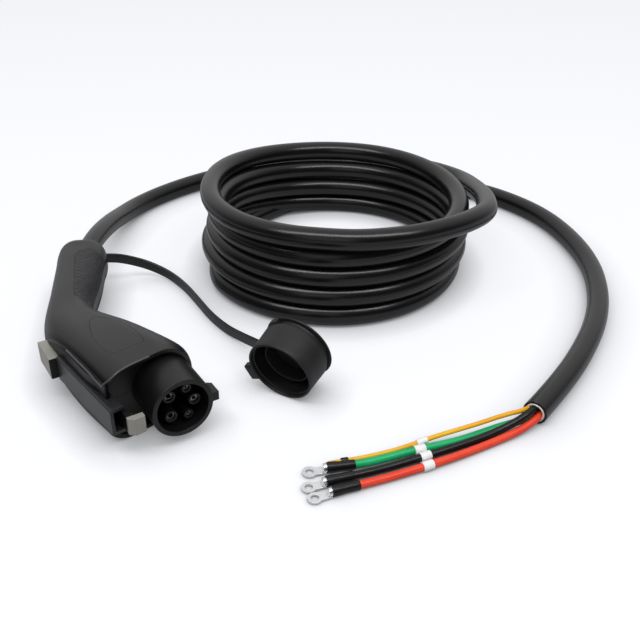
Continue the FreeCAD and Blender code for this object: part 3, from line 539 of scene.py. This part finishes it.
def round_curve(name, kind, points, radius, sides):
    """A curve with one spline of a kind through the points, a round section and closed ends."""
    curve = bpy.data.curves.new(name, "CURVE")
    curve.dimensions = "3D"
    spline = curve.splines.new(kind)
    spline.points.add(len(points) - 1)
    for knot, point in zip(spline.points, points):
        knot.co = (*point, 1.0)
    curve.bevel_depth = radius
    curve.bevel_resolution = sides
    curve.use_fill_caps = True
    piece = bpy.data.objects.new(name, curve)
    bpy.context.collection.objects.link(piece)
    return piece, spline


def smooth_line(name, points, radius, sides=10, per_run=10):
    """A round cord on one smooth line through the pulls of its route points."""
    piece, spline = round_curve(name, "NURBS", points, radius, sides)
    spline.order_u = 3
    spline.use_endpoint_u = True
    spline.resolution_u = per_run
    return piece


def to_mesh(piece):
    """Makes a curve a mesh."""
    select_only(piece)
    bpy.ops.object.convert(target="MESH")


def close_mesh():
    """In edit mode, merges doubled points and turns the faces outwards."""
    bpy.ops.mesh.select_all(action="SELECT")
    bpy.ops.mesh.remove_doubles(threshold=WELD)
    bpy.ops.mesh.normals_make_consistent(inside=False)


def points_on(cord):
    """The points of a cord's own line, as its spline gives them with no thickness."""
    bare = cord.copy()
    bare.data = cord.data.copy()
    bare.data.bevel_depth = 0.0
    bpy.context.collection.objects.link(bare)
    bpy.context.view_layer.update()
    mesh = bpy.data.meshes.new_from_object(bare.evaluated_get(bpy.context.evaluated_depsgraph_get()))
    points = [v.co.copy() for v in mesh.vertices]
    bpy.data.objects.remove(bare)
    bpy.data.meshes.remove(mesh)
    return points


def length_of(points):
    """The length of a line of points."""
    return sum((b - a).length for a, b in zip(points, points[1:]))


def way_to(points, target):
    """How far along a line of points the one nearest to a place lies."""
    nearest = min(range(len(points)), key=lambda i: (points[i] - target).length)
    return length_of(points[:nearest + 1])


def walk(points, distance):
    """The point and direction a given way along a line of points."""
    gone = 0.0
    for a, b in zip(points, points[1:]):
        step = (b - a).length
        if gone + step >= distance and step > 0:
            return a + (b - a) * ((distance - gone) / step), (b - a).normalized()
        gone += step
    return points[-1], (points[-1] - points[-2]).normalized()


def sleeve_on(name, line, start, profile, material):
    """A tube drawn over a cord: profile gives distances along its line and the tube's radius there."""
    whole = length_of(line)
    end, ahead = walk(line, whole)
    places = []
    for distance, _ in profile:
        along = start + distance
        beyond = along - whole
        places.append(end + ahead * beyond if beyond > 0 else walk(line, along)[0])
    # The curve has a radius of 1 mm, which each point multiplies to its own
    piece, spline = round_curve(name, "POLY", places, MM, sides=6)
    for knot, (_, radius) in zip(spline.points, profile):
        knot.radius = radius / MM
    to_mesh(piece)
    bpy.ops.object.mode_set(mode="EDIT")
    close_mesh()
    bpy.ops.object.mode_set(mode="OBJECT")
    return settle(piece, material, smooth=40.0)


def turned(name, profile, steps, sweep=360.0, start=0.0):
    """A closed shape spun round its own Z axis from (radius, height) points in mm, closed by its doubles."""
    bpy.ops.object.select_all(action="DESELECT")
    bpy.ops.mesh.primitive_plane_add(size=MM)
    piece = bpy.context.object
    piece.name = name
    bpy.ops.object.mode_set(mode="EDIT")
    bpy.ops.mesh.select_all(action="SELECT")
    bpy.ops.mesh.merge(type="CENTER")
    turn = math.radians(start)
    before = Vector((0.0, 0.0, 0.0))
    for index, (radius, height) in enumerate(profile):
        point = Vector((radius * math.cos(turn), radius * math.sin(turn), height)) * MM
        if index == 0:
            bpy.ops.transform.translate(value=point)
        else:
            bpy.ops.mesh.extrude_region_move(TRANSFORM_OT_translate={"value": point - before})
        before = point
    bpy.ops.mesh.select_all(action="SELECT")
    if sweep < 360.0:
        bpy.ops.mesh.remove_doubles(threshold=WELD)
        bpy.ops.mesh.edge_face_add()
    bpy.ops.mesh.spin(steps=steps, angle=math.radians(sweep), center=(0, 0, 0), axis=(0, 0, 1))
    close_mesh()
    bpy.ops.object.mode_set(mode="OBJECT")
    return piece


def placed(piece, origin, along, over):
    """Stands a shape modelled round Z on a place, its Z along one direction and its X over another."""
    z = along.normalized()
    x = (over - z * over.dot(z)).normalized()
    piece.matrix_world = Matrix.Translation(origin) @ Matrix((x, z.cross(x), z)).transposed().to_4x4()
    return piece


def joined(name, pieces):
    """The pieces as one object under a new name."""
    select_only(*pieces)
    bpy.ops.object.join()
    bpy.context.object.name = name
    return bpy.context.object


def coil_points(cable_d):
    """The turns of the coil, sixteen pulls to a turn, easing from quarter to quarter."""
    points = []
    for (turn_a, out_a, high_a), (turn_b, out_b, high_b) in zip(COIL_QUARTERS, COIL_QUARTERS[1:]):
        for step in range(QUARTER_PULLS):
            share = step / QUARTER_PULLS
            ease = share * share * (3 - 2 * share)
            angle = math.radians(turn_a + (turn_b - turn_a) * share)
            reach = (out_a + (out_b - out_a) * ease) * cable_d * PULL_OUT
            height = (high_a + (high_b - high_a) * ease) * cable_d
            flat = COIL_RIGHT * math.cos(angle) + COIL_AWAY * math.sin(angle)
            points.append(COIL_MIDDLE + flat * reach + UP * height)
    return points


# Settings

class CableSettings(PropertyGroup):
    """Sizes and colours of the cable."""
    diameter: FloatProperty(name="Cable diameter", description="Outside of the jacket", default=17.5 * MM,
                            unit="LENGTH", precision=4)
    power_core: FloatProperty(name="Power core", description="Outside of a power core's insulation",
                              default=5.4 * MM, unit="LENGTH", precision=4)
    pilot_core: FloatProperty(name="Pilot core", description="Outside of the pilot core's insulation",
                              default=3.2 * MM, unit="LENGTH", precision=4)
    jacket_dark: FloatVectorProperty(name="Jacket, dark", description="Darker tone of the jacket",
                                     subtype="COLOR", size=4, default=linear("#0c0c0e"))
    jacket_light: FloatVectorProperty(name="Jacket, light", description="Lighter tone of the jacket",
                                      subtype="COLOR", size=4, default=linear("#101012"))


class StageSettings(PropertyGroup):
    """Light level of the studio."""
    level: FloatProperty(name="Light level", description="Strength of the soft light all round", default=0.45)


# The pieces

class CHARGING_OT_stage(Operator):
    """Places the camera at the photograph's angle, the pale floor and the soft studio light"""
    bl_idname = "charging.stage"
    bl_label = "Camera, floor and light"

    def execute(self, context):
        bpy.ops.object.camera_add(location=CAMERA_PLACE,
                                  rotation=(math.radians(CAMERA_TILT), 0.0, math.radians(CAMERA_TURN)))
        camera = context.object
        camera.name = "main_camera"
        camera.data.lens = CAMERA_LENS_MM
        camera.data.sensor_width = CAMERA_SENSOR_MM
        camera.data.shift_y = CAMERA_SHIFT
        camera.data.clip_start = CAMERA_NEAR
        context.scene.camera = camera

        bpy.ops.object.select_all(action="DESELECT")
        bpy.ops.mesh.primitive_plane_add(size=FLOOR_SIZE, location=(0.0, 0.0, 0.0))
        floor = context.object
        floor.name = "studio_floor"
        floor.data.materials.append(pale_floor("white studio floor"))
        context.scene.world = soft_world("soft studio", context.scene.charging_stage.level)

        for name, place, (width, length), watts, aim in LAMPS:
            towards = Vector(aim) - Vector(place)
            bpy.ops.object.light_add(type="AREA", location=place,
                                     rotation=towards.to_track_quat("-Z", "Y").to_euler())
            lamp = context.object
            lamp.name = name
            lamp.data.shape = "RECTANGLE"
            lamp.data.size = width
            lamp.data.size_y = length
            lamp.data.energy = watts
        context.scene.view_settings.view_transform = "Standard"
        return {"FINISHED"}


class CHARGING_OT_cable(Operator):
    """Lays the cable in one line from the plug, through its five coiled turns, to its cut end"""
    bl_idname = "charging.cable"
    bl_label = "Cable"

    def execute(self, context):
        settings = context.scene.charging_cable
        route = [Vector(p) for p in PLUG_TAIL + BEHIND_COIL] + coil_points(settings.diameter)
        route += [Vector(p) for p in LEAVING_COIL + OPEN_TAIL]
        ahead = (route[-1] - route[-2]).normalized()
        route[-1] = JACKET_END - ahead * CUT_END * MM
        cable = smooth_line("cable", route, settings.diameter / 2)
        # Extruded TPU: a satin skin that shows a soft streak of light along its top
        jacket = extruded_jacket("TPU cable jacket", (settings.jacket_dark, settings.jacket_light),
                                 roughness=0.27, specular=0.5)
        cable.data.materials.append(jacket)
        on_plug(cable, "cable_plug_tail", "cable_coil", "cable_open_tail", slot="cable_jacket")
        length = length_of(points_on(cable))

        # The open end of the jacket, cut square, with a hair of rounding at its rim
        outer = settings.diameter / 2 / MM
        skin = turned("jacket_cut_end", [
            (outer - 2.2, -2.0), (outer, -2.0), (outer, CUT_END - 0.25), (outer - 0.25, CUT_END),
            (outer - 1.55, CUT_END), (outer - 1.7, CUT_END - 0.2), (outer - 1.7, -1.0), (outer - 2.2, -2.0),
        ], steps=48)
        settle(placed(skin, route[-1], ahead, UP), jacket, smooth=40.0)
        # Wrapping fleece between the jacket and the cores: matt white, standing a little proud of the cut
        fleece = turned("wrapping_fleece", [
            (outer - 3.0, 2.0), (outer - 1.75, 2.0), (outer - 1.75, 5.1), (outer - 2.1, 5.5),
            (outer - 2.8, 5.4), (outer - 3.0, 5.0), (outer - 3.0, 2.0),
        ], steps=48)
        white = extruded_jacket("white wrapping fleece", tones("#dcdad4", "#eeece8"), roughness=0.8,
                                specular=0.2)
        settle(placed(fleece, route[-1], ahead, UP), white, smooth=40.0)
        for piece in (skin, fleece):
            on_plug(piece, slot="cable_jacket")
        return {"FINISHED"}


class CHARGING_OT_cores(Operator):
    """Leads the four cores to their ends, with marker sleeves, heat-shrink and ring terminals"""
    bl_idname = "charging.cores"
    bl_label = "Cores"

    def execute(self, context):
        settings = context.scene.charging_cable
        # Polyolefin, shrunk on by heat: satin black
        shrink = extruded_jacket("black polyolefin heat-shrink", tones("#0d0d0f", "#131315"), roughness=0.40)
        # PVC tube, cut to length: plain bright white
        marker = extruded_jacket("white PVC marker sleeve", tones("#f0f0f0", "#fafafa"), roughness=0.4)
        for colour, route in CORE_ROUTES.items():
            thick = settings.pilot_core if colour == "yellow" else settings.power_core
            core = smooth_line("core_line_" + colour, [Vector(p) for p in route], thick / 2,
                               sides=6, per_run=8)
            # PVC insulation: bright, smooth and slightly glossy
            core.data.materials.append(extruded_jacket(colour + " PVC core insulation",
                                                       tones(*CORE_COLOURS[colour]), roughness=0.34))
            on_plug(core, "core_" + colour, slot="core_" + colour)
            line = points_on(core)
            length = length_of(line)
            r = thick / 2
            label = sleeve_on("marker_tube_" + colour, line, way_to(line, middle_of("marker_" + colour)),
                              in_metres(MARKER_PROFILE, r), marker)
            on_plug(label, "marker_" + colour, slot="marker_white")
            if colour == "yellow":
                sleeve = sleeve_on("shrink_band", line, way_to(line, middle_of("shrink_band_yellow")),
                                   in_metres(BAND_PROFILE, r), shrink)
                on_plug(sleeve, "shrink_band_yellow", slot="shrink_black")
            else:
                sleeve = sleeve_on("heat_shrink_" + colour, line, length, in_metres(SHRINK_PROFILE), shrink)
                on_plug(sleeve, "shrink_sleeve_" + colour, slot="shrink_black")
        return {"FINISHED"}


class CHARGING_OT_strap(Operator):
    """Lays the flat strap, standing on its edge, from the handle to the dust cap"""
    bl_idname = "charging.strap"
    bl_label = "Cap strap"

    def execute(self, context):
        line = smooth_line("strap", [Vector(p) for p in STRAP], 0.0, per_run=8)
        path = points_on(line)
        bpy.data.objects.remove(line)
        half_w, half_t, round_r = STRAP_WIDTH / 2 * MM, STRAP_THICKNESS / 2 * MM, STRAP_ROUNDING * MM
        outline = []
        for corner_x, corner_y, start in ((1, 1, 0), (-1, 1, 90), (-1, -1, 180), (1, -1, 270)):
            for step in range(STRAP_CORNER_STEPS + 1):
                angle = math.radians(start + 90 / STRAP_CORNER_STEPS * step)
                outline.append((corner_x * (half_t - round_r) + round_r * math.cos(angle),
                                corner_y * (half_w - round_r) + round_r * math.sin(angle)))
        mesh = bpy.data.meshes.new("strap")
        shape = bmesh.new()
        rings = []
        for index, point in enumerate(path):
            ahead = (path[min(index + 1, len(path) - 1)] - path[max(index - 1, 0)]).normalized()
            side = ahead.cross(UP).normalized()
            lift = side.cross(ahead).normalized()
            rings.append([shape.verts.new(point + side * x + lift * y) for x, y in outline])
        for before, after in zip(rings, rings[1:]):
            for i in range(len(outline)):
                j = (i + 1) % len(outline)
                shape.faces.new((before[i], before[j], after[j], after[i]))
        shape.faces.new(list(reversed(rings[0])))
        shape.faces.new(rings[-1])
        bmesh.ops.recalc_face_normals(shape, faces=shape.faces)
        shape.to_mesh(mesh)
        shape.free()
        piece = bpy.data.objects.new("strap", mesh)
        context.collection.objects.link(piece)
        # Extruded TPE: satin charcoal, so that its upper edge shows as a thin light line
        settle(piece, extruded_jacket("charcoal TPE strap", tones("#121214", "#18181b"), roughness=0.42,
                                      specular=0.5))
        on_plug(piece, "cap_strap", slot="cap_rubber")
        return {"FINISHED"}


class CHARGING_OT_cap(Operator):
    """Turns the dust cap: a soft cup with a back flange, a sealing rib, an inner sleeve, a bump and a lug"""
    bl_idname = "charging.cap"
    bl_label = "Dust cap"

    def execute(self, context):
        tilt, turn = math.radians(CAP_TILT), math.radians(CAP_TURN)
        out = Vector((math.cos(turn) * math.cos(tilt), math.sin(turn) * math.cos(tilt), -math.sin(tilt)))
        side = Vector((-out.y, out.x, 0.0)).normalized()
        up = out.cross(side)
        back = CAP_MOUTH - out * CUP_DEPTH * MM
        lug_way = (side * LUG_WAY[0] + up * LUG_WAY[1]).normalized()
        bump_way = (side * BUMP_WAY[0] + up * BUMP_WAY[1]).normalized()
        cup = placed(turned("cup", CUP_PROFILE, steps=96), back, out, side)
        lug = turned("lug", LUG_PROFILE, steps=8, sweep=LUG_SWEEP, start=-LUG_SWEEP / 2)
        placed(lug, back, out, lug_way)
        bpy.ops.object.select_all(action="DESELECT")
        bpy.ops.mesh.primitive_cube_add(size=1.0)
        bump = context.object
        bump.scale = [extent * MM for extent in BUMP_SIZE]
        bpy.ops.object.transform_apply(location=False, rotation=False, scale=True)
        bpy.ops.object.mode_set(mode="EDIT")
        bpy.ops.mesh.select_all(action="SELECT")
        bpy.ops.mesh.bevel(offset=BUMP_ROUNDING * MM, segments=4, affect="EDGES")
        bpy.ops.object.mode_set(mode="OBJECT")
        placed(bump, CAP_MOUTH - out * BUMP_BEHIND * MM + bump_way * BUMP_OUT * MM, out, bump_way)
        cap = joined("cap", [cup, lug, bump])
        # Soft TPE: matt charcoal with a fine mould grain
        rubber = moulded_plastic("charcoal TPE cap", tones("#18181a", "#1e1e20"), roughness=0.5, grain_mm=0.7,
                                 depth_mm=0.04, edge_mm=0.0)
        settle(cap, rubber, smooth=40.0)
        on_plug(cap, "dust_cap", slot="cap_rubber")
        return {"FINISHED"}


class CHARGING_OT_spring(Operator):
    """Winds the spring under the latch button"""
    bl_idname = "charging.spring"
    bl_label = "Latch spring"

    def execute(self, context):
        low, high = (Vector(corner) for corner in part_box("latch_spring"))
        wire = SPRING_WIRE * MM
        middle = (low + high) / 2
        reach = (high.x - low.x) / 2 - wire
        height = high.y - low.y - 2 * wire
        steps = SPRING_COILS * SPRING_PULLS
        pulls = []
        for step in range(steps + 1):
            angle = math.radians(360 / SPRING_PULLS * step)
            pulls.append(Vector((middle.x + reach * math.cos(angle), high.y - wire - height * (step / steps),
                                 middle.z + reach * math.sin(angle))))
        spring = smooth_line("spring", pulls, wire, sides=2, per_run=3)
        to_mesh(spring)
        # Drawn spring steel, zinc plated: a dull grey gloss
        steel = bare_metal("zinc plated spring steel", tones("#9a9a9c", "#acacae"), roughness=0.35,
                           scratch_mm=0.2, depth_mm=0.01)
        settle(spring, steel, smooth=60.0)
        on_plug(spring, "latch_spring", slot="steel")
        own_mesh(spring)
        return {"FINISHED"}


class CHARGING_OT_hood_edge(Operator):
    """Runs the moulded bead along the hood's edge over the latch cover and round its corner"""
    bl_idname = "charging.hood_edge"
    bl_label = "Hood edge"

    def execute(self, context):
        bead = smooth_line("hood_edge_bead", [Vector(p) for p in HOOD_EDGE], HOOD_BEAD_RADIUS,
                           sides=4, per_run=6)
        to_mesh(bead)
        # The same ABS, polished where the tool's halves meet, and painted lighter than the housing as a
        # painted highlight: a thin line of light along it
        gloss_and_painted_highlight = moulded_plastic("glossy black ABS edge with painted highlight", tones("#3e3e42", "#4a4a4e"), roughness=0.30,
                                   grain_mm=0.8, depth_mm=0.01, specular=0.5, edge_mm=0.0)
        settle(bead, gloss_and_painted_highlight, smooth=60.0)
        on_plug(bead, slot="plug_plastic")
        return {"FINISHED"}


class CHARGING_OT_finishes(Operator):
    """Gives the pieces that are kept as built their plastics, rubbers and metals"""
    bl_idname = "charging.finishes"
    bl_label = "Finishes"

    def execute(self, context):
        # Spark-eroded ABS: a fine grain that scatters the light, with broad rounded edges
        plug, hood = (
            moulded_plastic(name, tones("#0e0e10", "#131315"), roughness=0.38, grain_mm=0.5, depth_mm=0.05,
                            specular=0.5, edge_mm=0.8)
            for name in ("black grained ABS housing", "black grained ABS hood")
        )
        # The upper shell gets painted shade under the hood's edge, dull and dark where the real one is
        # recessed
        shade_under_edge(hood)
        # Grip over-moulding: rows of waves, with painted shade in their valleys and painted light on their
        # crests
        grip = waved_grip("waved black TPE grip", tones("#050506", "#4a4a4e"))
        # The plate is the same ABS, polished smoother
        plate = moulded_plastic("smooth black ABS plate", tones("#0e0e10", "#121214"), roughness=0.34,
                                grain_mm=0.8, depth_mm=0.02, specular=0.5)
        # Filled PA: a shade greyer than the housing
        cover = moulded_plastic("dark grey PA latch cover", tones("#1f2022", "#28292c"), roughness=0.36,
                                grain_mm=0.8, depth_mm=0.03, specular=0.5)
        # PBT carrier: dull black so that the silver contacts stand out
        carrier = moulded_plastic("black PBT contact carrier", tones("#08080a", "#0e0e10"), roughness=0.45,
                                  grain_mm=0.6, depth_mm=0.03, specular=0.35)
        # Moulded PA: satin black with a soft light along the barrel's rim
        nose = moulded_plastic("black PA nose barrel", tones("#0c0c0e", "#111113"), roughness=0.40,
                               grain_mm=0.6, depth_mm=0.04)
        # Enamel on die casting: an even, slightly warm grey without a mirror
        # The near black given for the arm between button and hook is painted shade
        lever = enamelled_lever("silver enamelled die-cast lever", "#0a0a0b", tones("#8f8d86", "#9d9a93"))
        # Silver plating: bright with a slight warm tone
        contact = bare_metal("silver plated contact", tones("#8f8c85", "#a3a099"), roughness=0.36,
                             scratch_mm=0.2, depth_mm=0.01)
        # Zinc plating on drawn steel: duller and bluer
        steel = bare_metal("zinc plated steel", tones("#9a9a9c", "#acacae"), roughness=0.35, scratch_mm=0.2,
                           depth_mm=0.01)
        # Hot tinning over copper: soft bright surface with fine ripples
        tin = bare_metal("tinned copper terminal", tones("#eeeff0", "#f8f8f9"), roughness=0.3, scratch_mm=0.3,
                         depth_mm=0.02)
        # NBR seal: the mattest of the blacks
        seal = moulded_plastic("black seal rubber", tones("#0f0f10", "#141415"), roughness=0.6, grain_mm=0.5,
                               depth_mm=0.03, specular=0.3)
        for material, nodes in (
            (hood, ["housing_upper"]),
            (plug, ["housing_lower"]),
            (nose, ["nose_barrel"]),
            (grip, ["grip_inlay_upper", "grip_inlay_lower"]),
            (plate, ["side_plate"]),
            (cover, ["latch_cover"]),
            (carrier, ["contact_block"]),
            (lever, ["latch_lever"]),
            (contact, ["contact_" + pole for pole in ("line", "neutral", "earth", "pilot", "proximity")]),
            (steel, ["latch_pin", "housing_screws"]),
            (tin, ["ring_terminal_" + colour for colour in ("red", "black", "green")]),
            (seal, ["nose_seal", "cable_grommet"]),
        ):
            for node in nodes:
                paint(node, material)
        return {"FINISHED"}


PIECES = (CHARGING_OT_stage, CHARGING_OT_cable, CHARGING_OT_cores, CHARGING_OT_strap, CHARGING_OT_cap,
          CHARGING_OT_spring, CHARGING_OT_hood_edge, CHARGING_OT_finishes)


class CHARGING_PT_panel(Panel):
    """Lists the charging cable's settings and pieces"""
    bl_label = "Charging cable"
    bl_idname = "CHARGING_PT_panel"
    bl_space_type = "VIEW_3D"
    bl_region_type = "UI"
    bl_category = "Charging cable"

    def draw(self, context):
        for group in (context.scene.charging_cable, context.scene.charging_stage):
            for name in group.__annotations__:
                self.layout.prop(group, name)
        for piece in PIECES:
            self.layout.operator(piece.bl_idname)


CLASSES = (CableSettings, StageSettings, *PIECES, CHARGING_PT_panel)


def register():
    for kind in CLASSES:
        bpy.utils.register_class(kind)
    bpy.types.Scene.charging_cable = PointerProperty(type=CableSettings)
    bpy.types.Scene.charging_stage = PointerProperty(type=StageSettings)


def unregister():
    del bpy.types.Scene.charging_stage
    del bpy.types.Scene.charging_cable
    for kind in reversed(CLASSES):
        bpy.utils.unregister_class(kind)


def main():
    register()
    bpy.ops.charging.stage()
    bpy.ops.charging.cable()
    bpy.ops.charging.cores()
    bpy.ops.charging.strap()
    bpy.ops.charging.cap()
    bpy.ops.charging.spring()
    bpy.ops.charging.hood_edge()
    bpy.ops.charging.finishes()


if __name__ == "__main__":
    main()
